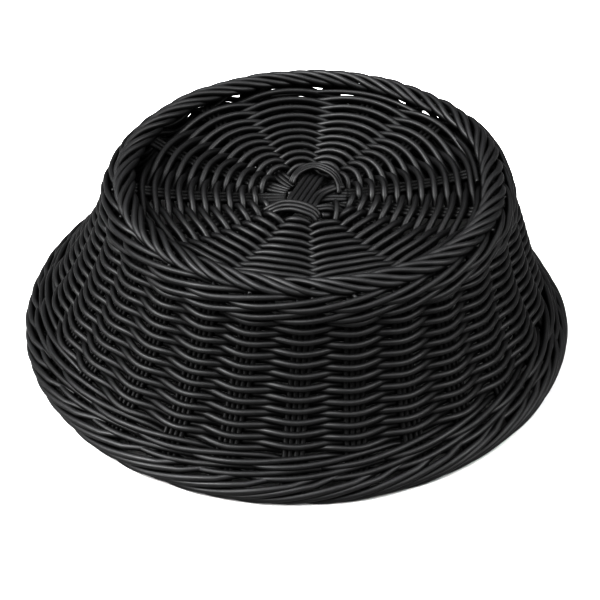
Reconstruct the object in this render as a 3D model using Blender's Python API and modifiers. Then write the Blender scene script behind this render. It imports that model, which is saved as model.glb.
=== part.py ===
"""Woven fruit basket of round plastic strand, standing mouth down on its rolled rim.

Origin: centre of the plane the rim border rests on. +Z runs up through the base.
The base is dished into the basket and stands back inside a raised foot border.
Each group of parallel strands is one bar, and each run of weaving is one band with a
channel for every bar that passes through it. Metres throughout.
"""
import math

import bmesh
import bpy

# ---------------------------------------------------------------- driving sizes
MOUTH_DIAMETER = 0.306          # over the rim border
HEIGHT = 0.102                  # resting plane to crest of the foot border
FOOT_DIAMETER = 0.2116          # over the foot border
STRAND = 0.0030                 # round plastic strand
FIT = 0.0003                    # air left between neighbours

STAKES = 27                     # groups of side strands
STAKE_STRANDS = 4               # strands side by side in a side group
SPOKES = 13                     # groups of base strands
SPOKE_STRANDS = 3               # strands side by side in a base group
CORE_STRANDS = 6                # strands in the group across the middle of the base
FIRST_STAKE = -91.5             # degrees from +X to the first side group
FIRST_SPOKE = -77.0             # degrees from +X to the first base group
CORE_ANGLE = 60.0               # degrees from +X to the upper middle group

WALL_SAG = 0.0062               # how far the wall hollows in at mid height
RIM_WALE_HEIGHT = 0.0112
SHOULDER_WALE_HEIGHT = 0.0125
SIDE_WEAVE_BANDS = 3
CORE_LENGTH = 0.0340            # strands crossing the middle of the base
BASE_EDGE_GAP = 0.0012          # base weave to the foot border
BASE_SPLIT = 0.54               # where the inner base ring ends, as a share of the weave

RING_STEPS = STAKES * 2
BASE_STEPS = SPOKES * 4
BORDER_CORNERS = 6

# ---------------------------------------------------------------- sizes in strands
WEAVE_DEPTH = 3 * STRAND        # weaver, bar, weaver
HALF_DEPTH = WEAVE_DEPTH / 2
STAKE_WIDTH = STAKE_STRANDS * STRAND
SPOKE_WIDTH = SPOKE_STRANDS * STRAND
CORE_WIDTH = CORE_STRANDS * STRAND
RIM_BORDER_WIDTH = 3.00 * STRAND
RIM_BORDER_HEIGHT = 3.07 * STRAND
FOOT_BORDER_WIDTH = 4.27 * STRAND
FOOT_BORDER_HEIGHT = 2.73 * STRAND
BORDER_FLAT = 1.20 * STRAND     # width of the worn flat on each border
BORDER_SOCKET = 1.00 * STRAND   # how far a side group runs into a border
BASE_RECESS = 4.77 * STRAND     # crest of the foot border down to the base centre
BASE_DISH = 2.60 * STRAND       # rise of the base from its centre to its edge
BINDING_WIDTH = 2.50 * STRAND   # each band that holds the upper middle group
BINDING_THICK = 0.87 * STRAND
BINDING_DROP = 0.53 * STRAND    # how far a band turns down beside the group

# ---------------------------------------------------------------- tied sizes
RIM_RADIUS = (MOUTH_DIAMETER - RIM_BORDER_WIDTH) / 2
FOOT_RADIUS = (FOOT_DIAMETER - FOOT_BORDER_WIDTH) / 2
WALL_BOTTOM_Z = RIM_BORDER_HEIGHT + 2 * FIT
WALL_TOP_Z = HEIGHT - FOOT_BORDER_HEIGHT + FIT
WALL_BOTTOM_R = RIM_RADIUS - 0.73 * STRAND
WALL_TOP_R = FOOT_RADIUS + 1.73 * STRAND
STAKE_TURN = math.radians(FIRST_STAKE)
SPOKE_TURN = math.radians(FIRST_SPOKE)
CORE_TURN = math.radians(CORE_ANGLE)
CORE_REACH = math.hypot(CORE_LENGTH, CORE_WIDTH) / 2 + 2 * FIT
SPOKE_CROWD = (SPOKE_WIDTH / 2 + FIT) / math.tan(math.pi / SPOKES)
SPOKE_START = max(CORE_REACH, SPOKE_CROWD)
SPOKE_END = FOOT_RADIUS - 0.73 * STRAND
BASE_WEAVE_START = SPOKE_START + 1.13 * STRAND
BASE_EDGE = FOOT_RADIUS - FOOT_BORDER_WIDTH / 2 - BASE_EDGE_GAP
BASE_JOIN = BASE_WEAVE_START + (BASE_EDGE - BASE_WEAVE_START) * BASE_SPLIT
BASE_CENTRE_TOP = HEIGHT - BASE_RECESS
BINDING_OFFSET = CORE_LENGTH / 2 - BINDING_WIDTH / 2 - STRAND / 2

BLACK = "1b1b1d"


def clear_scene():
    for obj in list(bpy.data.objects):
        bpy.data.objects.remove(obj, do_unlink=True)
    for mesh in list(bpy.data.meshes):
        bpy.data.meshes.remove(mesh)
    for group in list(bpy.data.collections):
        bpy.data.collections.remove(group)


def new_collection(name):
    group = bpy.data.collections.new(name)
    bpy.context.scene.collection.children.link(group)
    return group


def linear(hex_colour):
    out = []
    for k in (0, 2, 4):
        c = int(hex_colour[k:k + 2], 16) / 255
        out.append(c / 12.92 if c <= 0.04045 else ((c + 0.055) / 1.055) ** 2.4)
    return (*out, 1.0)


def plastic(name):
    mat = bpy.data.materials.new(name)
    mat.use_nodes = True
    shader = mat.node_tree.nodes["Principled BSDF"]
    shader.inputs["Base Color"].default_value = linear(BLACK)
    shader.inputs["Roughness"].default_value = 0.42
    shader.inputs["IOR"].default_value = 1.49
    return mat


def add_object(name, mesh, group, smooth=False):
    obj = bpy.data.objects.new(name, mesh)
    group.objects.link(obj)
    if group is parts:
        mesh.materials.append(plastic(name + "_plastic"))
        for poly in mesh.polygons:
            poly.use_smooth = smooth
    else:
        obj.hide_render = True
        obj.display_type = "WIRE"
    return obj


def ring(name, section, steps, smooth=False):
    """A closed section of (radius, height) corners, turned once round the Z axis."""
    mesh = bpy.data.meshes.new(name)
    corners = [(r, 0.0, z) for r, z in section]
    count = len(corners)
    mesh.from_pydata(corners, [(i, (i + 1) % count) for i in range(count)], [])
    obj = add_object(name, mesh, parts)
    screw = obj.modifiers.new("turn", "SCREW")
    screw.axis = "Z"
    screw.angle = math.tau
    screw.steps = steps
    screw.render_steps = steps
    screw.use_merge_vertices = True
    screw.merge_threshold = 0.00001
    screw.use_smooth_shade = smooth
    return obj


def oval(radius, height, width, tall, flat_top):
    """Section of a rolled border, listed from the top down its outer side."""
    side = []
    for k in range(BORDER_CORNERS + 1):
        turn = math.pi / 2 - math.pi * k / BORDER_CORNERS
        side.append((math.cos(turn) * width / 2, math.sin(turn) * tall / 2))
    half_flat = BORDER_FLAT / 2
    if flat_top:
        side[0] = (half_flat, tall / 2)
    else:
        side[-1] = (half_flat, -tall / 2)
    mirrored = [(-x, z) for x, z in reversed(side) if x > 0.0001]
    full = side + mirrored
    return [(radius + x, height + z) for x, z in full]


def strips(name, path, width, count, turn):
    """Open strips along a path of (radius, height), spaced evenly round the Z axis."""
    mesh = bpy.data.meshes.new(name)
    points = []
    faces = []
    half = width / 2
    for n in range(count):
        angle = turn + math.tau * n / count
        out = (math.cos(angle), math.sin(angle))
        start = len(points)
        for r, z in path:
            points.append((r * out[0] + half * out[1], r * out[1] - half * out[0], z))
            points.append((r * out[0] - half * out[1], r * out[1] + half * out[0], z))
        for k in range(len(path) - 1):
            a = start + 2 * k
            faces.append((a, a + 1, a + 3, a + 2))
    mesh.from_pydata(points, [], faces)
    return mesh


def thicken(obj, thick):
    solid = obj.modifiers.new("thickness", "SOLIDIFY")
    solid.thickness = thick
    solid.offset = 0.0
    solid.use_even_offset = True
    solid.use_rim = True


def bars(name, path, width, count, turn):
    """One flat bar of strands for each group, each turned to its own angle."""
    one = strips(name, path, width, 1, 0.0)
    for n in range(count):
        obj = add_object(f"{name}_{n + 1:02d}", one.copy(), parts)
        obj.rotation_euler = (0.0, 0.0, turn + math.tau * n / count)
        thicken(obj, STRAND)
    bpy.data.meshes.remove(one)


def channels(name, path, width, count, turn):
    """The room the bars need, with air all round."""
    obj = add_object(name, strips(name, path, width + 2 * FIT, count, turn), cutters)
    thicken(obj, STRAND + 2 * FIT)
    return obj


def cut(obj, cutter, label):
    boolean = obj.modifiers.new(label, "BOOLEAN")
    boolean.operation = "DIFFERENCE"
    boolean.solver = "EXACT"
    boolean.object = cutter


def block(name, length, width, low, high, angle):
    mesh = bpy.data.meshes.new(name)
    shape = bmesh.new()
    bmesh.ops.create_cube(shape, size=1.0)
    bmesh.ops.scale(shape, vec=(length, width, high - low), verts=shape.verts)
    shape.to_mesh(mesh)
    shape.free()
    obj = add_object(name, mesh, parts)
    obj.location = (0.0, 0.0, (low + high) / 2)
    obj.rotation_euler = (0.0, 0.0, angle)


def binding(name, side):
    """A band of strands arched over one end of the upper group."""
    across = CORE_WIDTH / 2 + FIT + BINDING_THICK / 2
    low = BASE_CENTRE_TOP + FIT + BINDING_THICK / 2
    rise = BINDING_THICK * 0.25
    bend = BINDING_THICK / 4
    line = [(-across - bend, low - BINDING_DROP), (-across + bend, low)]
    line += [(-across / 3, low + rise), (across / 3, low + rise)]
    line += [(across - bend, low), (across + bend, low - BINDING_DROP)]
    half = BINDING_WIDTH / 2
    points = []
    for x, z in line:
        points.append((side * BINDING_OFFSET - half, x, z))
        points.append((side * BINDING_OFFSET + half, x, z))
    faces = [(2 * k, 2 * k + 1, 2 * k + 3, 2 * k + 2) for k in range(len(line) - 1)]
    mesh = bpy.data.meshes.new(name)
    mesh.from_pydata(points, [], faces)
    obj = add_object(name, mesh, parts)
    obj.rotation_euler = (0.0, 0.0, CORE_TURN)
    thicken(obj, BINDING_THICK)


def extend(path, start, end):
    """The same path with its first and last legs run on."""
    (r0, z0), (r1, z1) = path[0], path[1]
    reach = math.hypot(r1 - r0, z1 - z0)
    first = (r0 - (r1 - r0) * start / reach, z0 - (z1 - z0) * start / reach)
    (r0, z0), (r1, z1) = path[-2], path[-1]
    reach = math.hypot(r1 - r0, z1 - z0)
    last = (r1 + (r1 - r0) * end / reach, z1 + (z1 - z0) * end / reach)
    return [first] + path[1:-1] + [last]


# ---------------------------------------------------------------- wall and base lines
def wall_radius(z):
    s = (z - WALL_BOTTOM_Z) / (WALL_TOP_Z - WALL_BOTTOM_Z)
    return WALL_BOTTOM_R + (WALL_TOP_R - WALL_BOTTOM_R) * s - WALL_SAG * 4 * s * (1 - s)


def base_height(r):
    """Middle of the base weave, highest at its edge."""
    centre = BASE_CENTRE_TOP - HALF_DEPTH
    return centre + BASE_DISH * (r / BASE_EDGE) ** 2


def normals(path):
    """Unit normals of a path, pointing away from the inside of the basket."""
    out = []
    for k in range(len(path)):
        a = path[max(k - 1, 0)]
        b = path[min(k + 1, len(path) - 1)]
        dr, dz = b[0] - a[0], b[1] - a[1]
        size = math.hypot(dr, dz)
        out.append((dz / size, -dr / size))
    return out


def band_section(low, high):
    """Section of the band between two neighbouring levels of a line."""
    (p, p_normal), (q, q_normal) = low, high
    dr, dz = q[0] - p[0], q[1] - p[1]
    size = math.hypot(dr, dz)
    step = (dr / size * FIT / 2, dz / size * FIT / 2)
    p = (p[0] + step[0], p[1] + step[1])
    q = (q[0] - step[0], q[1] - step[1])
    outer_top = (q[0] + q_normal[0] * HALF_DEPTH, q[1] + q_normal[1] * HALF_DEPTH)
    outer_bottom = (p[0] + p_normal[0] * HALF_DEPTH, p[1] + p_normal[1] * HALF_DEPTH)
    inner_bottom = (p[0] - p_normal[0] * HALF_DEPTH, p[1] - p_normal[1] * HALF_DEPTH)
    inner_top = (q[0] - q_normal[0] * HALF_DEPTH, q[1] - q_normal[1] * HALF_DEPTH)
    return [outer_top, outer_bottom, inner_bottom, inner_top]


clear_scene()
parts = new_collection("woven_fruit_basket")
cutters = new_collection("cutters")

# levels up the wall: rim wale, side weave bands, shoulder wale
weave_bottom = WALL_BOTTOM_Z + RIM_WALE_HEIGHT
weave_top = WALL_TOP_Z - SHOULDER_WALE_HEIGHT
levels = [WALL_BOTTOM_Z]
for k in range(SIDE_WEAVE_BANDS + 1):
    levels.append(weave_bottom + (weave_top - weave_bottom) * k / SIDE_WEAVE_BANDS)
levels.append(WALL_TOP_Z)
wall = [(wall_radius(z), z) for z in levels]
wall_normals = normals(wall)

# the line every side group follows, its ends let into the two borders
rim_end = (RIM_RADIUS - 0.13 * STRAND, RIM_BORDER_HEIGHT - BORDER_SOCKET)
foot_end = (FOOT_RADIUS + 0.87 * STRAND, HEIGHT - FOOT_BORDER_HEIGHT + BORDER_SOCKET)
stake_line = [rim_end] + wall + [foot_end]

# the line every base group follows
inner_middle = (BASE_WEAVE_START + BASE_JOIN) / 2
outer_middle = (BASE_JOIN + BASE_EDGE) / 2
base_line = []
for r in (SPOKE_START, inner_middle, BASE_JOIN, outer_middle, SPOKE_END):
    base_line.append((r, base_height(r)))

# ---------------------------------------------------------------- channels
stake_channels = channels("stake_channels", extend(stake_line, FIT, FIT), STAKE_WIDTH,
                          STAKES, STAKE_TURN)
spoke_channels = channels("spoke_channels", extend(base_line, FIT, FIT), SPOKE_WIDTH,
                          SPOKES, SPOKE_TURN)

# ---------------------------------------------------------------- side
bars("side_stake", stake_line, STAKE_WIDTH, STAKES, STAKE_TURN)

band_names = ["rim_wale"]
band_names += [f"side_weave_{k + 1}" for k in range(SIDE_WEAVE_BANDS)]
band_names += ["shoulder_wale"]
for k, name in enumerate(band_names):
    low = (wall[k], wall_normals[k])
    high = (wall[k + 1], wall_normals[k + 1])
    band = ring(name, band_section(low, high), RING_STEPS)
    cut(band, stake_channels, "stake channels")

rim_border = ring("rim_border", oval(RIM_RADIUS, RIM_BORDER_HEIGHT / 2, RIM_BORDER_WIDTH,
                                     RIM_BORDER_HEIGHT, False), RING_STEPS, True)
cut(rim_border, stake_channels, "stake sockets")
foot_border = ring("foot_border", oval(FOOT_RADIUS, HEIGHT - FOOT_BORDER_HEIGHT / 2,
                                       FOOT_BORDER_WIDTH, FOOT_BORDER_HEIGHT, True),
                   RING_STEPS, True)
cut(foot_border, stake_channels, "stake sockets")

# ---------------------------------------------------------------- base
bars("base_spoke", base_line, SPOKE_WIDTH, SPOKES, SPOKE_TURN)

base_rings = {
    "base_weave_inner": (BASE_WEAVE_START, inner_middle, BASE_JOIN),
    "base_weave_outer": (BASE_JOIN, outer_middle, BASE_EDGE),
}
for name, radii in base_rings.items():
    upper = []
    lower = []
    for k, r in enumerate(radii):
        nudge = FIT / 2 if k == 0 else (-FIT / 2 if k == len(radii) - 1 else 0.0)
        upper.append((r + nudge, base_height(r) + HALF_DEPTH))
        lower.append((r + nudge, base_height(r) - HALF_DEPTH))
    band = ring(name, upper + lower[::-1], BASE_STEPS)
    cut(band, spoke_channels, "spoke channels")

# middle of the base: two groups laid across each other, and a band over each end
# of the upper one
upper_top = BASE_CENTRE_TOP
upper_bottom = upper_top - STRAND
lower_top = upper_bottom - FIT
block("base_core_upper", CORE_LENGTH, CORE_WIDTH, upper_bottom, upper_top, CORE_TURN)
block("base_core_lower", CORE_LENGTH, CORE_WIDTH, lower_top - STRAND, lower_top,
      CORE_TURN + math.pi / 2)
binding("base_binding_1", 1)
binding("base_binding_2", -1)
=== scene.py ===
"""Woven fruit basket, standing mouth down: every strand is laid along its own woven path."""

import math

import bpy
import numpy as np
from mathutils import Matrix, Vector


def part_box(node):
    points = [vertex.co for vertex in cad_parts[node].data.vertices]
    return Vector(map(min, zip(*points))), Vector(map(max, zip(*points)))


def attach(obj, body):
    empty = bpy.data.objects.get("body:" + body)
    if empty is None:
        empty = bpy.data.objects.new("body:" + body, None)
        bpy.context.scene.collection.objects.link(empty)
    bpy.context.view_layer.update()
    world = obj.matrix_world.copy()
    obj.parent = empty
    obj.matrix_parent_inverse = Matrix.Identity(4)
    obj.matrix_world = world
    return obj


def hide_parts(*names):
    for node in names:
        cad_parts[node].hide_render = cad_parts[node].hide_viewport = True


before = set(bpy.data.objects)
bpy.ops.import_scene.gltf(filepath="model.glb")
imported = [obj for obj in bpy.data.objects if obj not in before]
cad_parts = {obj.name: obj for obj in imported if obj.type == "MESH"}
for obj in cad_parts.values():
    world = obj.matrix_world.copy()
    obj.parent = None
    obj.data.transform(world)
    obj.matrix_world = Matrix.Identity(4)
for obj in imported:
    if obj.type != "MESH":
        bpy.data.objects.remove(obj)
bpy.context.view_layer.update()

MM = 0.001
TURN = 2 * math.pi
chance = np.random.default_rng(27)

# ---------------------------------------------------------------- sizes

STRAND = 3.0 * MM  # the stakes' thickness
WEAVER = 3.5 * MM  # the weaver's floats swell where they lie free over a group
WALE_ROD = 3.3 * MM
BORDER_STRAND = 3.5 * MM  # the stakes flatten and spread where they roll over
BITE = 0.93  # what is left of a thickness where crossing strands press into one another
UNEVEN, UNEVEN_EVERY = 0.018, 7 * MM  # how a strand's thickness varies along it
CUT_EDGE, CUT_DEPTH = 0.12, 0.35  # the rounded edge of a cut end, as a share of the thickness
STEP = 1.5 * MM  # how far apart the rings of points along a strand are
SIDES = 10  # points round a strand

# The basket is made by hand, so it is a little out of line and out of round.
LEAN = 8.6 * MM  # how far the foot sits to the right of the rim
DENT = 3.6 * MM  # how far the rim swings in and the wall above it out, behind the right side
DENT_IN = 1.2 * MM  # how far all of that swing is pressed in
DENT_ANGLE, DENT_TURN, DENT_SPREAD = 109.0, 12.0, 15.0  # degrees round from the front
DENT_HEIGHT = 60.0 * MM  # from the deepest of the dent up to the fullest of the swelling

side_groups = sorted(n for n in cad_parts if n.startswith("side_stake_"))
base_groups = sorted(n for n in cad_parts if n.startswith("base_spoke_"))
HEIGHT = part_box("foot_border")[1].z


def box_angle(node):
    """Where a node sits round the basket, 0 at the front and growing to the right."""
    low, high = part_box(node)
    middle = (low + high) / 2
    return math.atan2(middle.x, -middle.y)


def in_order(angles):
    """The angles, each a little further round than the one before."""
    angles = [angles[0] + (a - angles[0]) % TURN for a in angles]
    return np.array(sorted(angles))


def place_in(angles, node):
    """Which of the angles a node stands at."""
    off = (angles - box_angle(node) + math.pi) % TURN - math.pi
    return int(np.argmin(np.abs(off)))


def group_angle(count, angles):
    """Angle of the group with this running number; part numbers lie between groups."""
    count = np.asarray(count, float)
    whole = len(angles)
    rounds = np.floor(count / whole)
    once_round = np.append(angles, angles[0] + TURN)
    return np.interp(count - rounds * whole, np.arange(whole + 1), once_round) + rounds * TURN


# ---------------------------------------------------------------- the basket's surfaces


def fit_wall():
    """The wall's middle radius as a curve over height, from the outside of four of its rings."""
    rings = ["rim_wale", "side_weave_1", "side_weave_2", "side_weave_3"]
    heights = [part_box(n)[0].z for n in rings]
    radii = [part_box(n)[1].x for n in rings]
    outside = np.polyfit(heights, radii, 2)
    outside[2] -= 1.5 * STRAND * BITE
    return outside


WALL = fit_wall()


def wall_radius(height):
    return np.polyval(WALL, height)


def wall_slope(height):
    return np.polyval(np.polyder(WALL), height)


WALL_HEIGHTS = np.linspace(-10 * MM, 110 * MM, 600)
WALL_LENGTHS = np.concatenate(
    [[0], np.cumsum(np.hypot(np.diff(WALL_HEIGHTS), np.diff(wall_radius(WALL_HEIGHTS))))]
)
WALL_LENGTHS -= np.interp(0, WALL_HEIGHTS, WALL_LENGTHS)


def up_wall(height):
    """How far up the slanting wall a height is."""
    return np.interp(height, WALL_HEIGHTS, WALL_LENGTHS)


def wall_height(length):
    """The height of a place that is this far up the slanting wall."""
    return np.interp(length, WALL_LENGTHS, WALL_HEIGHTS)


def place(angle, radius, height):
    """A point in the basket, with the lean and the dent added to its even round shape."""
    lean = LEAN * np.clip(height / HEIGHT, 0, 1)
    past = np.degrees(angle) % 360 - DENT_ANGLE + DENT_TURN * height / DENT_HEIGHT
    swing = DENT * np.cos(np.pi * height / DENT_HEIGHT) + DENT_IN
    radius = radius - np.exp(-((past / DENT_SPREAD) ** 2)) * swing
    return np.stack(
        [radius * np.sin(angle) + lean, -radius * np.cos(angle), height + 0 * angle],
        axis=-1,
    )


def on_wall(angle, length, out):
    """A point on the wall, `length` up its slant and `out` in front of its middle."""
    height = wall_height(length)
    slope = wall_slope(height)
    size = np.sqrt(1 + slope**2)
    return place(angle, wall_radius(height) + out / size, height - out * slope / size)


def fit_base():
    """The base weave's edge, the height of its middle, and how much higher its edge is."""
    outer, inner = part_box("base_weave_outer")[1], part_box("base_weave_inner")[1]
    rise = (outer.z - inner.z) / (outer.x**2 - inner.x**2) * outer.x**2
    return outer.x, outer.z - 1.5 * STRAND - rise, 0.9 * rise


BASE_EDGE, BASE_MIDDLE, BASE_RISE = fit_base()


def base_height(radius):
    """Nearly flat over the middle, sweeping up to the border."""
    return BASE_MIDDLE + BASE_RISE * (radius / BASE_EDGE) ** 4


def on_base(angle, radius, out):
    """A point on the base, `out` above its middle."""
    slope = 4 * BASE_RISE * radius**3 / BASE_EDGE**4
    size = np.sqrt(1 + slope**2)
    return place(angle, radius - out * slope / size, base_height(radius) + out / size)


def wander(at, amount, every, seed):
    """Smooth, repeatable unevenness: a hand's wobble along a run."""
    at = np.asarray(at, float) / every
    draw = np.random.default_rng(seed).uniform(-1, 1, 4096)
    whole = np.floor(at).astype(int)
    part = at - whole
    part = part * part * (3 - 2 * part)
    this, following = draw[whole % len(draw)], draw[(whole + 1) % len(draw)]
    return amount * (this * (1 - part) + following * part)


def ease(u, begin, end, leave, arrive):
    """A smooth curve from begin to end, with its slopes where it leaves and arrives."""
    return (
        (2 * u**3 - 3 * u**2 + 1) * begin
        + (u**3 - 2 * u**2 + u) * leave
        + (3 * u**2 - 2 * u**3) * end
        + (u**3 - u**2) * arrive
    )


def bent_wave(count, flatness):
    """1 in front of even groups and -1 behind odd ones, flattened where it lies on a group."""
    return np.tanh(flatness * np.cos(math.pi * count)) / math.tanh(flatness)


# ---------------------------------------------------------------- strands to meshes


def even_steps(points, step):
    """The same path with its points an even distance apart."""
    points = np.asarray(points, float)
    gaps = np.linalg.norm(np.diff(points, axis=0), axis=1)
    keep = np.concatenate([[True], gaps > 1e-7])
    points = points[keep]
    length = np.concatenate(
        [[0], np.cumsum(np.linalg.norm(np.diff(points, axis=0), axis=1))]
    )
    count = max(4, int(round(length[-1] / step)) + 1)
    at = np.linspace(0, length[-1], count)
    return np.stack([np.interp(at, length, points[:, k]) for k in range(3)], 1), at


def frames_along(points):
    """Tangents and two side directions that don't twist along the path."""
    tangent = np.gradient(points, axis=0)
    tangent /= np.linalg.norm(tangent, axis=1)[:, None]
    side = np.zeros_like(points)
    start = np.cross(tangent[0], [0, 0, 1.0])
    if np.linalg.norm(start) < 1e-3:
        start = np.cross(tangent[0], [1.0, 0, 0])
    side[0] = start / np.linalg.norm(start)
    for i in range(1, len(points)):
        s = side[i - 1] - tangent[i] * np.dot(side[i - 1], tangent[i])
        side[i] = s / math.sqrt(s[0] * s[0] + s[1] * s[1] + s[2] * s[2])
    return tangent, side, np.cross(tangent, side)


def strand_shell(points, thickness):
    """Points, faces and grain of one round strand with cut, slightly rounded ends."""
    points, along = even_steps(points, STEP)
    tangent, side, other = frames_along(points)
    radius = np.full(len(points), thickness / 2)
    radius *= 1 + wander(along, UNEVEN, UNEVEN_EVERY, int(chance.integers(1 << 30)))
    # The cut ends: a small rounded edge, then the flat of the cut.
    edge = thickness * CUT_EDGE
    points = np.concatenate(
        [
            [points[0], points[0] + tangent[0] * edge * CUT_DEPTH],
            points[1:-1],
            [points[-1] - tangent[-1] * edge * CUT_DEPTH, points[-1]],
        ]
    )
    along = np.concatenate(
        [[along[0], along[0] + edge], along[1:-1], [along[-1], along[-1] + edge]]
    )
    pick = np.concatenate([[0, 0], np.arange(1, len(radius) - 1), [len(radius) - 1] * 2])
    radius, tangent, side, other = radius[pick], tangent[pick], side[pick], other[pick]
    radius[0] -= edge
    radius[-1] -= edge
    turn = np.arange(SIDES) * TURN / SIDES
    across = radius[:, None] * np.cos(turn)
    upright = radius[:, None] * np.sin(turn)
    ring = (
        points[:, None, :]
        + side[:, None, :] * across[:, :, None]
        + other[:, None, :] * upright[:, :, None]
    )
    n = len(points)
    rows = np.arange(n * SIDES).reshape(n, SIDES)
    a, b = rows[:-1], rows[1:]
    quads = np.stack(
        [a, b, np.roll(b, -1, axis=1), np.roll(a, -1, axis=1)], axis=-1
    ).reshape(-1, 4)
    # Each strand is cut from its own length of a 40 m coil, so no two have the same marks.
    start = float(chance.uniform(0, 40))
    grain = np.stack(
        [
            np.repeat(along + start, SIDES),
            np.tile(np.cos(turn) * thickness / 2, n) + start,
            np.tile(np.sin(turn) * thickness / 2, n),
        ],
        1,
    )
    caps = [rows[0], rows[-1][::-1]]
    return ring.reshape(-1, 3), quads, caps, grain


def piece(name, runs, finish, slot, nodes):
    """One named piece made of strands. Each run is (points, thickness)."""
    verts, quads, caps, grains, tones = [], [], [], [], []
    base = 0
    for points, thickness in runs:
        shell, faces, ends, grain = strand_shell(points, thickness)
        verts.append(shell)
        quads.append(faces + base)
        caps += [tuple(int(v) + base for v in end) for end in ends]
        grains.append(grain)
        tones.append(np.full(len(shell), chance.uniform()))
        base += len(shell)
    verts, quads = np.concatenate(verts), np.concatenate(quads)
    mesh = bpy.data.meshes.new(name)
    mesh.from_pydata(verts.tolist(), [], quads.tolist() + caps)
    mesh.polygons.foreach_set(
        "use_smooth", np.concatenate([np.ones(len(quads), bool), np.zeros(len(caps), bool)])
    )
    grain = mesh.attributes.new("strand_grain", "FLOAT_VECTOR", "POINT")
    grain.data.foreach_set("vector", np.concatenate(grains).astype(np.float32).ravel())
    tone = mesh.attributes.new("strand_tone", "FLOAT", "POINT")
    tone.data.foreach_set("value", np.concatenate(tones).astype(np.float32))
    mesh.materials.append(finish)
    mesh.validate()
    mesh.update()
    body = bpy.data.objects.new(name, mesh)
    bpy.context.scene.collection.objects.link(body)
    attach(body, "root")
    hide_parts(*nodes)


# ---------------------------------------------------------------- finishes


def linear(hex_colour):
    """An sRGB hex colour as linear red, green, blue and 1."""
    parts = [int(hex_colour[i : i + 2], 16) / 255 for i in (1, 3, 5)]
    return tuple(c / 12.92 if c <= 0.04045 else ((c + 0.055) / 1.055) ** 2.4 for c in parts) + (1,)


def add(tree, kind, settings=None, links=None):
    """Adds a node, sets its properties and inputs, and links inputs from other sockets."""
    node = tree.nodes.new(kind)
    for key, value in (settings or {}).items():
        if isinstance(key, int) or key in node.inputs:
            node.inputs[key].default_value = value
        else:
            setattr(node, key, value)
    for key, source in (links or {}).items():
        tree.links.new(source, node.inputs[key])
    return node


def marks_every(*gaps):
    """A pattern's scale, in marks to the metre, from the gaps between its marks in mm."""
    scales = tuple(1000 / gap for gap in gaps)
    return scales if len(scales) > 1 else scales[0]


def extruded_polypropylene(name, dark, light, roughness):
    """Extruded polypropylene basket strand: drawn through a round die, so it is satin with fine
    lines along its length, dyed through, and greyer where hands and dust have dulled it. What
    faces up is painted lighter: partly dust, partly a painted sheen of the light from above."""
    finish = bpy.data.materials.new(name)
    finish.use_nodes = True
    tree = finish.node_tree
    tree.nodes.clear()
    grain = add(tree, "ShaderNodeAttribute", {"attribute_name": "strand_grain"})
    tone = add(tree, "ShaderNodeAttribute", {"attribute_name": "strand_tone"})
    # Die lines, centimetres long: 0.8 mm apart round the strand, as the real 0.1 mm is too fine.
    lines_at = add(
        tree,
        "ShaderNodeMapping",
        {"Scale": marks_every(16.667, 0.8, 0.8)},
        {"Vector": grain.outputs["Vector"]},
    )
    lines = add(
        tree,
        "ShaderNodeTexNoise",
        {"Scale": 1.0, "Detail": 3.0, "Roughness": 0.6},
        {"Vector": lines_at.outputs["Vector"]},
    )
    # The extruder's breathing: dull and bright lengths of about half a centimetre.
    breath_at = add(
        tree,
        "ShaderNodeMapping",
        {"Scale": marks_every(4.5455, 2.0, 2.0)},
        {"Vector": grain.outputs["Vector"]},
    )
    breath = add(
        tree,
        "ShaderNodeTexNoise",
        {"Scale": 1.0, "Detail": 2.0},
        {"Vector": breath_at.outputs["Vector"]},
    )
    # Matte grit of the cooled skin, 0.3 mm across; the real one is finer.
    grit = add(
        tree,
        "ShaderNodeTexNoise",
        {"Scale": marks_every(0.3125), "Detail": 2.0, "Roughness": 0.7},
        {"Vector": add(tree, "ShaderNodeTexCoord").outputs["Object"]},
    )
    # What faces up is painted lighter: partly dust, partly a painted sheen of the light from
    # above.
    normal = add(tree, "ShaderNodeNewGeometry").outputs["Normal"]
    facing = add(tree, "ShaderNodeSeparateXYZ", {}, {0: normal})
    dust_and_top_sheen = add(
        tree,
        "ShaderNodeMapRange",
        {"From Min": 0.1, "From Max": 1.0, "To Min": 0.0, "To Max": 0.35},
        {"Value": facing.outputs["Z"]},
    )

    def blend(share, part, rest):
        """A share of one value on top of another."""
        settings = {"operation": "MULTIPLY_ADD", 1: share}
        return add(tree, "ShaderNodeMath", settings, {0: part, 2: rest}).outputs["Value"]

    # The extruder's breathing, plus dust and a painted sheen on what faces up.
    breath_dust_and_top_sheen = blend(0.55, breath.outputs["Fac"], dust_and_top_sheen.outputs["Result"])
    shade = blend(0.30, tone.outputs["Fac"], breath_dust_and_top_sheen)
    colour = add(tree, "ShaderNodeValToRGB", {}, {"Fac": blend(0.45, grit.outputs["Fac"], shade)})
    for end, at, tint in zip(colour.color_ramp.elements, (0.35, 1.0), (dark, light)):
        end.position, end.color = at, linear(tint)
    rough = add(
        tree,
        "ShaderNodeMapRange",
        {
            "From Min": 0.25,
            "From Max": 0.75,
            "To Min": roughness - 0.14,
            "To Max": roughness + 0.14,
        },
        {"Value": lines.outputs["Fac"]},
    )
    bump = add(
        tree,
        "ShaderNodeBump",
        {"Strength": 0.55, "Distance": 0.2 * MM},
        {"Height": blend(0.6, grit.outputs["Fac"], lines.outputs["Fac"])},
    )
    shader = add(
        tree,
        "ShaderNodeBsdfPrincipled",
        {"IOR": 1.49, "Metallic": 0.0},
        {
            "Base Color": colour.outputs["Color"],
            "Roughness": rough.outputs["Result"],
            "Normal": bump.outputs["Normal"],
        },
    )
    add(tree, "ShaderNodeOutputMaterial", {}, {"Surface": shader.outputs["BSDF"]})
    return finish


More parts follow.
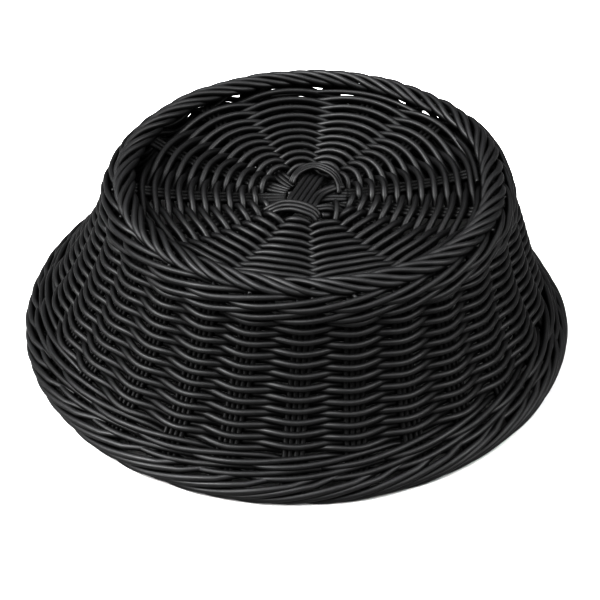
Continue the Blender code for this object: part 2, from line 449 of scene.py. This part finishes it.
def seamless_paper():
    """Uncoated studio paper: pulp pressed between felts, so it is dull with a faint fleck."""
    paper = bpy.data.materials.new("seamless_paper")
    paper.use_nodes = True
    tree = paper.node_tree
    tree.nodes.clear()
    # Flecks of pulp about 1.4 mm apart.
    fibre = add(
        tree,
        "ShaderNodeTexNoise",
        {"Scale": marks_every(1.4286), "Detail": 3.0},
        {"Vector": add(tree, "ShaderNodeTexCoord").outputs["Object"]},
    )
    shade = add(tree, "ShaderNodeValToRGB", {}, {"Fac": fibre.outputs["Fac"]})
    for end, tint in zip(shade.color_ramp.elements, ("#9e9e9e", "#a6a6a6")):
        end.color = linear(tint)
    shader = add(
        tree,
        "ShaderNodeBsdfPrincipled",
        {"Roughness": 0.95, "Specular IOR Level": 0.1},
        {"Base Color": shade.outputs["Color"]},
    )
    add(tree, "ShaderNodeOutputMaterial", {}, {"Surface": shader.outputs["BSDF"]})
    return paper


weaver_finish = extruded_polypropylene("extruded_polypropylene_weaver", "#030303", "#121213", 0.56)
stake_finish = extruded_polypropylene("extruded_polypropylene_stake", "#020202", "#0c0c0d", 0.57)
border_finish = extruded_polypropylene("extruded_polypropylene_border", "#030303", "#161617", 0.56)

# ---------------------------------------------------------------- side wall

SIDE_EVEN = in_order([box_angle(n) for n in side_groups])
SIDE_COUNT = len(SIDE_EVEN)
# A hand doesn't space the groups exactly.
SIDE_STANDS = SIDE_EVEN + np.radians(np.random.default_rng(5).uniform(-0.7, 0.7, SIDE_COUNT))

STAKES_FROM, STAKES_TO = 4.5 * MM, 94.5 * MM
STAKE_GAP = 2.98 * MM  # from one strand of a side group to the next
STAKE_THICK = STRAND * 0.98
CLOSER = 0.10  # how much closer the strands of a group stand at the foot

WALE_ROW = 6.1 * MM  # from one round of three-rod wale to the next
RIM_WALE_ROWS = [up_wall(12.6 * MM), up_wall(12.6 * MM) + WALE_ROW]
SHOULDER_ROWS = [up_wall(86.6 * MM), up_wall(86.6 * MM) + WALE_ROW]

ROW = 3.02 * MM  # from one round of the side weaver to the next, up the slant
WEAVE_START = RIM_WALE_ROWS[-1] + 4.1 * MM
WEAVE_END = SHOULDER_ROWS[0] - 4.0 * MM
WEAVE_ROUNDS = round((WEAVE_END - WEAVE_START) / ROW)
WEAVE_BEGINS = 98  # degrees round from the front
WEAVE_OUT = 3.15 * MM  # how far in front of and behind the wall's middle the weaver swings
WEAVE_BOW = 0.70 * MM  # packing each round down bows it towards the rim on a group
WEDGE, WEDGE_ANGLE, WEDGE_SPREAD = 1.6 * MM, 78, 16  # a gap left where the weaver starts
POINTS_PER_GROUP = 26


def side_angle(count):
    return group_angle(count, SIDE_STANDS)


def count_at(angle_degrees):
    """Running number of the side position at this angle from the front."""
    angles = np.append(SIDE_EVEN, SIDE_EVEN[0] + TURN)
    angle = SIDE_EVEN[0] + (math.radians(angle_degrees) - SIDE_EVEN[0]) % TURN
    return float(np.interp(angle, angles, np.arange(SIDE_COUNT + 1)))


def side_weaver():
    """One long strand that spirals up the wall, in front of one group and behind the next."""
    count = np.arange(0, WEAVE_ROUNDS * SIDE_COUNT, 1 / POINTS_PER_GROUP)
    rounds = count / SIDE_COUNT
    at = count + count_at(WEAVE_BEGINS)
    angle = side_angle(at)
    length = WEAVE_START - 0.5 * MM + (WEAVE_END - WEAVE_START) * rounds / WEAVE_ROUNDS
    # The first rounds ride up a little where the weaver starts and leave a narrow dark wedge.
    near = np.exp(-(((np.degrees(angle) % 360 - WEDGE_ANGLE) / WEDGE_SPREAD) ** 2))
    length += WEDGE * near * np.clip(1.4 - rounds / 3, 0, 1) * (rounds > 0.3)
    length += wander(count, 0.28 * MM, 1.0, 11)
    length -= WEAVE_BOW * np.cos(TURN * at)
    # Higher up, where the wall is steep, the inside arcs settle lower than the outside ones.
    settle = (0.10 + 0.60 * rounds / WEAVE_ROUNDS) * MM
    length += settle * np.cos(math.pi * at)
    out = WEAVE_OUT * (1 + wander(count, 0.05, 2.0, 12)) * bent_wave(at, 0.9)
    return [(on_wall(angle, length, out), WEAVER)]


def side_stakes(number):
    """The four strands of one side group, from the foot border down into the rim border."""
    runs = []
    heights = np.linspace(STAKES_FROM, STAKES_TO, 70)
    for k in range(4):
        seed = number * 4 + k
        across = (k - 1.5) * STAKE_GAP * (1 - CLOSER * heights / HEIGHT)
        across = across + wander(heights, 0.28 * MM, 14 * MM, 1000 + seed)
        angle = side_angle(number) + across / wall_radius(heights)
        out = wander(heights, 0.25 * MM, 18 * MM, 2000 + seed)
        runs.append((on_wall(angle, up_wall(heights), out), STAKE_THICK))
    return runs


def smooth_round(knots, values, at):
    """A smooth curve through the values that repeats from the last knot, with uneven knots."""
    knots, values = np.array(knots), np.array(values, float)
    period = knots[-1] - knots[0]
    k = np.concatenate([[knots[-2] - period], knots, [knots[1] + period]])
    v = np.concatenate([[values[-2]], values, [values[1]]])
    slope = (v[2:] - v[:-2]) / (k[2:] - k[:-2])
    at = np.mod(np.asarray(at, float) - knots[0], period) + knots[0]
    i = np.clip(np.searchsorted(knots, at, side="right") - 1, 0, len(knots) - 2)
    gap = knots[i + 1] - knots[i]
    u = (at - knots[i]) / gap
    return ease(u, values[i], values[i + 1], gap * slope[i], gap * slope[i + 1])


def wale(rows, first, seed):
    """Rounds of three-rod wale: each rod goes in front of two groups and behind one, rising."""
    # Over three groups, 0 is behind a group and 1 and 2 are in front; the shifts are in mm.
    knots = [0.0, 0.30, 0.55, 1.0, 1.5, 2.0, 2.45, 2.70, 3.0]
    rising = [0.0, -1.9, -2.7, -2.0, -0.1, 2.0, 2.9, 2.4, 0.0]
    front = [-3.0, -1.4, 2.4, 4.4, 3.9, 3.0, 0.8, -1.6, -3.0]
    runs = []
    for number, middle in enumerate(rows):
        for rod in range(3):
            # Both ends of a rod are tucked behind the same group.
            tuck = 0.2
            count = np.arange(-tuck, SIDE_COUNT + tuck, 1 / POINTS_PER_GROUP) + rod + first
            at = np.mod(count - rod - first, 3)
            own = seed + 100 * number + rod
            length = middle + smooth_round(knots, rising, at) * MM
            length = length + wander(count, 0.25 * MM, 1.5, own)
            out = smooth_round(knots, front, at) * MM + wander(count, 0.20 * MM, 1.5, own + 10)
            runs.append((on_wall(side_angle(count), length, out), WALE_ROD))
    return runs


side_weave = ["side_weave_1", "side_weave_2", "side_weave_3"]
piece("side_weaver", side_weaver(), weaver_finish, "weaver_strand", side_weave)
for node in side_groups:
    stakes = side_stakes(place_in(SIDE_EVEN, node))
    piece(f"side_stake_strands_{node[-2:]}", stakes, stake_finish, "stake_strand", [node])
for name, rows, first, seed in (
    ("rim_wale", RIM_WALE_ROWS, 0, 300),
    ("shoulder_wale", SHOULDER_ROWS, 1, 600),
):
    piece(f"{name}_rods", wale(rows, first, seed), weaver_finish, "weaver_strand", [name])

# ---------------------------------------------------------------- borders

PAIR_PULL = 0.12  # how much closer the two ends from one side group lie, as a share of a gap
RIM_HALF_WIDE, RIM_HALF_TALL = 3.6 * MM, 5.0 * MM  # of the middle line that the strands follow
RIM_DIVE_IN, RIM_DIVE_UP = 3.6 * MM, 2.0 * MM  # where an end goes in under the wale
FOOT_WIDE = 12.8 * MM
FOOT_DIVE = 2.2 * MM


def rope(middle_radius, middle_height, half_wide, half_tall, begin, end, run_degrees, seed):
    """Strands laid side by side round a ring, each rolling over it as it runs along it."""
    random = np.random.default_rng(seed)
    count = 2 * SIDE_COUNT
    u = np.linspace(0, 1, 60)
    roll = np.radians(begin + (end - begin) * u)
    for n in range(count):
        even = n - PAIR_PULL * (n % 2 - 0.5)
        start = TURN * even / count + random.uniform(-0.10, 0.10) * TURN / count
        run = math.radians(run_degrees) * random.uniform(0.92, 1.08)
        lift = 1 + random.uniform(-0.09, 0.09)
        angle = start + run * (u - 0.5)
        radius = middle_radius + half_wide * lift * np.cos(roll)
        height = middle_height + half_tall * lift * np.sin(roll)
        yield angle, radius, height, u, BORDER_STRAND * random.uniform(0.96, 1.03)


def rim_border():
    """Ends rolled outwards and down round the rim, that finish under the wale."""
    middle_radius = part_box("rim_border")[1].x - STRAND / 2 - RIM_HALF_WIDE
    middle_height = STRAND / 2 + RIM_HALF_TALL
    runs = []
    for angle, radius, height, u, thickness in rope(
        middle_radius, middle_height, RIM_HALF_WIDE, RIM_HALF_TALL, -115, 118, 37.0, 71
    ):
        deep = np.clip((u - 0.80) / 0.20, 0, 1)
        radius = radius - RIM_DIVE_IN * deep
        height = height + RIM_DIVE_UP * deep
        runs.append((place(angle, radius, np.maximum(height, thickness / 2)), thickness))
    return runs


def foot_border():
    """Ends rolled in over the foot's edge, and the cut ends that show under it."""
    low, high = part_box("foot_border")
    tall = high.z - low.z
    half_wide, half_tall = FOOT_WIDE / 2 - BORDER_STRAND / 2, tall / 2 - BORDER_STRAND / 2
    runs = []
    for angle, radius, height, u, thickness in rope(
        high.x - FOOT_WIDE / 2, high.z - tall / 2, half_wide, half_tall, 228, -62, 29.0, 72
    ):
        deep = np.clip((u - 0.93) / 0.07, 0, 1)
        runs.append((place(angle, radius - FOOT_DIVE * deep**2, height), thickness))
    random = np.random.default_rng(73)
    for number in range(SIDE_COUNT):
        start = float(side_angle(number + random.uniform(-0.35, 0.35)))
        reach = high.x + (0.7 + random.uniform(-0.8, 0.5)) * MM
        u = np.linspace(0, 1, 8)
        radius = reach - 9 * MM * (1 - u)
        height = low.z + (2.2 - 0.8 * u) * MM
        runs.append((place(start + 0.03 * u, radius, height), STRAND * 0.8))
    return runs


for name, runs in (("rim_border", rim_border()), ("foot_border", foot_border())):
    piece(f"{name}_strands", runs, border_finish, "border_strand", [name])

# ---------------------------------------------------------------- base

BASE_EVEN = in_order([box_angle(n) for n in base_groups])
BASE_COUNT = len(BASE_EVEN)
# How far the hand has pushed each base group round from its even place, in degrees.
BASE_PUSH = [3, 7, 6, 2, 5, 6, 10, 11, 10, 10, 7, 1, 2]
BASE_STANDS = BASE_EVEN + np.radians(BASE_PUSH)
BASE_START, BASE_PAST = 23.4 * MM, 1.8 * MM  # where the weaver begins, and how far past the edge
BASE_ROW = 3.41 * MM  # from one round of the base weaver to the next
BASE_OUT = 3.1 * MM  # how far above and below the base's middle the weaver swings
POINTS_PER_SPOKE = 30
LOOSE_FROM, LOOSE_TO = 2.6, 6.2  # running numbers of the groups that the loose end passes

SPOKE_GAP = 2.95 * MM  # from one strand of a base group to the next
SPOKE_SIDE_START, SPOKE_LASHED_START = 12 * MM, 25 * MM
SPOKE_END = 96 * MM


def base_angle(count):
    return group_angle(count, BASE_STANDS)


def base_weaver():
    """One long strand that spirals out over one group and under the next, and its loose end."""
    rounds = (BASE_EDGE - BASE_START + BASE_PAST) / BASE_ROW
    count = np.arange(0, rounds * BASE_COUNT, 1 / POINTS_PER_SPOKE)
    radius = BASE_START + BASE_ROW * count / BASE_COUNT
    # The first rounds are pulled in by hand and stay uneven.
    uneven = 0.30 + 0.8 * np.exp(-count / BASE_COUNT / 1.2)
    radius = radius + wander(count, 1, 1.0, 21) * uneven * MM
    radius = radius + 0.3 * MM * np.cos(TURN * count) * (radius / BASE_EDGE)
    out = BASE_OUT * (1 + wander(count, 0.06, 2.0, 22)) * bent_wave(count, 1.15)
    # The loose end lies against the border at the back right.
    loose = np.arange(LOOSE_FROM, LOOSE_TO, 1 / POINTS_PER_SPOKE)
    edge = BASE_EDGE + (1.6 + wander(loose, 0.8, 1.0, 23)) * MM
    above = (2.4 + 1.5 * np.cos(math.pi * (loose - 3))) * MM
    return [
        (on_base(base_angle(count), radius, out), WEAVER),
        (on_base(base_angle(loose), edge, above), WEAVER * 0.9),
    ]


def base_spokes(number):
    """The three strands of one base group; those at the front and back start under the lashing."""
    middle = float(base_angle(number))
    begin = SPOKE_SIDE_START if abs(math.sin(middle)) > 0.55 else SPOKE_LASHED_START
    radius = np.linspace(begin, SPOKE_END, 60)
    squeeze = np.clip(radius / (20 * MM), 0.75, 1)
    sunk = 0.9 * MM * np.clip(2 - radius / (25 * MM), 0, 1)
    runs = []
    for k in range(3):
        across = (k - 1) * SPOKE_GAP + wander(radius, 0.25 * MM, 15 * MM, 3000 + number * 3 + k)
        angle = middle + across * squeeze / radius
        runs.append((on_base(angle, radius, -0.3 * MM - sunk), STAKE_THICK))
    return runs


base_weave = ["base_weave_inner", "base_weave_outer"]
piece("base_weaver", base_weaver(), weaver_finish, "weaver_strand", base_weave)
for node in base_groups:
    spokes = base_spokes(place_in(BASE_EVEN, node))
    piece(f"base_spoke_strands_{node[-2:]}", spokes, stake_finish, "stake_strand", [node])

# ---------------------------------------------------------------- the crossed middle

CORE_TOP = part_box("base_core_upper")[1].z
CORE_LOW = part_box("base_core_lower")[1].z
CORE_TURN = math.radians(68)


def laid(points):
    """A smooth path through points given in mm: right, back and up from the top of the core."""
    knots = np.array(points, float) * MM
    last = len(knots) - 1
    slopes = np.gradient(knots, axis=0)
    at = np.linspace(0, last, 14 * last + 1)
    i = np.clip(np.floor(at).astype(int), 0, last - 1)
    u = (at - i)[:, None]
    path = ease(u, knots[i], knots[i + 1], slopes[i], slopes[i + 1])
    height = CORE_TOP + path[:, 2]
    return np.stack([path[:, 0] + LEAN * height / HEIGHT, path[:, 1], height], -1)


def between(one, other, share):
    """A path part of the way from one list of points to the other."""
    return laid(np.array(one) * (1 - share) + np.array(other) * share)


def core_upper():
    """Six strands side by side; the last two are bent away to the right at the back."""
    runs = []
    for k in range(6):
        reach = 17.0 if k < 4 else 12.5 - 1.5 * (k - 4)
        along = np.linspace(-17.5, reach, 9)
        across = (2.5 - k) * 2.92 - 0.6
        bend = 4.3 * np.clip((along + 3) / 10, 0, 2) ** 2 if k > 3 else 0 * along
        x = along * math.cos(CORE_TURN) - (across - bend) * math.sin(CORE_TURN)
        y = along * math.sin(CORE_TURN) + (across - bend) * math.cos(CORE_TURN)
        up = -STRAND / 2 / MM - 0.035 * np.clip(np.abs(along) - 10, 0, 12) ** 2
        runs.append((laid(np.stack([x, y, up], 1)), STRAND))
    return runs


def core_lower():
    """Four strands across, under the upper group, and two more that show at the right."""
    under = (CORE_LOW - CORE_TOP - STRAND / 2) / MM
    runs = []
    for k in range(4):
        back = (1.5 - k) * 2.95 - 1.2
        path = [
            (-11, back - 0.5, under - 0.4),
            (-6, back - 0.2, under),
            (0, back, under),
            (11, back + 0.8, under + 0.9),
            (21, back + 1.6, under + 0.3),
        ]
        runs.append((laid(path), STRAND))
    for back in (-14.4, -17.2):
        path = [(0, back + 1, -3.5), (6, back, -1.6), (11, back, -1.1), (17, back - 1, -2.6)]
        runs.append((laid(path), STRAND * 0.9))
    return runs


def upper_lashing():
    """Three thin strands side by side that arch over the back end of the core."""
    inside = [
        (-8.2, 7.6, -2.4), (-7, 10.4, 0.6), (-4.2, 13.8, 1.7), (2.1, 17.1, 2.2),
        (8.4, 14.4, 1.9), (13, 9, 1.7), (15.3, 3, 0.4), (15.9, -1, -2.6),
    ]
    outside = [
        (-10.4, 10.4, -2.8), (-8.6, 13.4, 0.1), (-3.4, 20.4, 1.3), (3.6, 22.4, 1.6),
        (10.4, 19.5, 1.5), (15, 14.2, 0.9), (17.4, 7.4, -0.5), (17.4, 1.5, -3.4),
    ]
    return [(between(inside, outside, share), STRAND * 0.70) for share in (0.08, 0.50, 0.92)]


def lower_lashing():
    """Three strands over the front end of the core, and the short loop at their right."""
    inside = [
        (-24, -16, -3.0), (-20, -15.6, -0.6), (-14.5, -14.2, 1.2), (-8, -15.4, 2.2),
        (-1.5, -17.8, 2.0), (3, -20.4, 0.8), (6, -22.6, -2.2),
    ]
    outside = [
        (-20.5, -20.6, -3.0), (-17.8, -20.2, -0.6), (-13.5, -20.2, 0.6), (-8.4, -21.2, 1.4),
        (-3, -23.4, 1.1), (1.6, -25.2, 0.0), (4, -27, -2.6),
    ]
    loop = [
        (14, -9.5, -3.0), (14.1, -13, 0.6), (14.5, -18, 1.6), (14.3, -23, 0.2),
        (13.6, -27, -3.2),
    ]
    runs = [(between(inside, outside, share), STRAND * 0.95) for share in (0.0, 0.48, 1.0)]
    return runs + [(laid(loop), STRAND)]


for node, runs, slot in (
    ("base_core_upper", core_upper(), "stake_strand"),
    ("base_core_lower", core_lower(), "stake_strand"),
    ("base_binding_1", upper_lashing(), "weaver_strand"),
    ("base_binding_2", lower_lashing(), "weaver_strand"),
):
    piece(f"{node}_strands", runs, weaver_finish, slot, [node])

# ---------------------------------------------------------------- floor, lights and camera

FLOOR_HALF = 4.0  # metres from the middle of the floor to its edge
AIM = Vector((2.5 * MM, 0, 11.4 * MM))
CAMERA_AWAY = 0.9164  # metres from the aim
CAMERA_RISE = math.radians(38.36)
CAMERA_LENS = 96.8  # mm, on a 36 mm wide sensor


def look_along(thing, direction):
    thing.rotation_euler = direction.to_track_quat("-Z", "Y").to_euler()
    bpy.context.scene.collection.objects.link(thing)


def soft_sun(name, sideways, backwards, strength, spread):
    """A far, wide diffuser: even on the floor, with soft edges to its shadows."""
    lamp = bpy.data.lights.new(name, "SUN")
    lamp.energy, lamp.angle = strength, math.radians(spread)
    light = bpy.data.objects.new(name, lamp)
    light.location = (sideways, backwards, 1.0)
    look_along(light, Vector((-sideways, -backwards, -1.0)))


def studio():
    scene = bpy.context.scene
    scene.world = bpy.data.worlds.new("soft_studio")
    scene.world.use_nodes = True
    sky = scene.world.node_tree.nodes["Background"].inputs
    sky["Color"].default_value = linear("#ffffff")
    sky["Strength"].default_value = 0.02

    floor = bpy.data.meshes.new("studio_floor")
    around = ((-1, -1), (1, -1), (1, 1), (-1, 1))
    corners = [(x * FLOOR_HALF, y * FLOOR_HALF, 0) for x, y in around]
    floor.from_pydata(corners, [], [(0, 1, 2, 3)])
    floor.materials.append(seamless_paper())
    sweep = bpy.data.objects.new("studio_floor", floor)
    scene.collection.objects.link(sweep)

    soft_sun("left_diffuser", -1.0, -0.30, 19.0, 58)
    soft_sun("right_diffuser", 0.85, -0.36, 11.5, 58)
    soft_sun("back_diffuser", -0.1, 0.7, 2.0, 50)

    camera = bpy.data.cameras.new("studio_camera")
    camera.lens, camera.sensor_width = CAMERA_LENS, 36.0
    camera.clip_start, camera.clip_end = 0.01, 20
    stand = bpy.data.objects.new("studio_camera", camera)
    stand.location = AIM + CAMERA_AWAY * Vector((0, -math.cos(CAMERA_RISE), math.sin(CAMERA_RISE)))
    look_along(stand, AIM - stand.location)
    scene.camera = stand
    scene.view_settings.view_transform = "Standard"
    scene.view_settings.gamma = 0.46


studio()
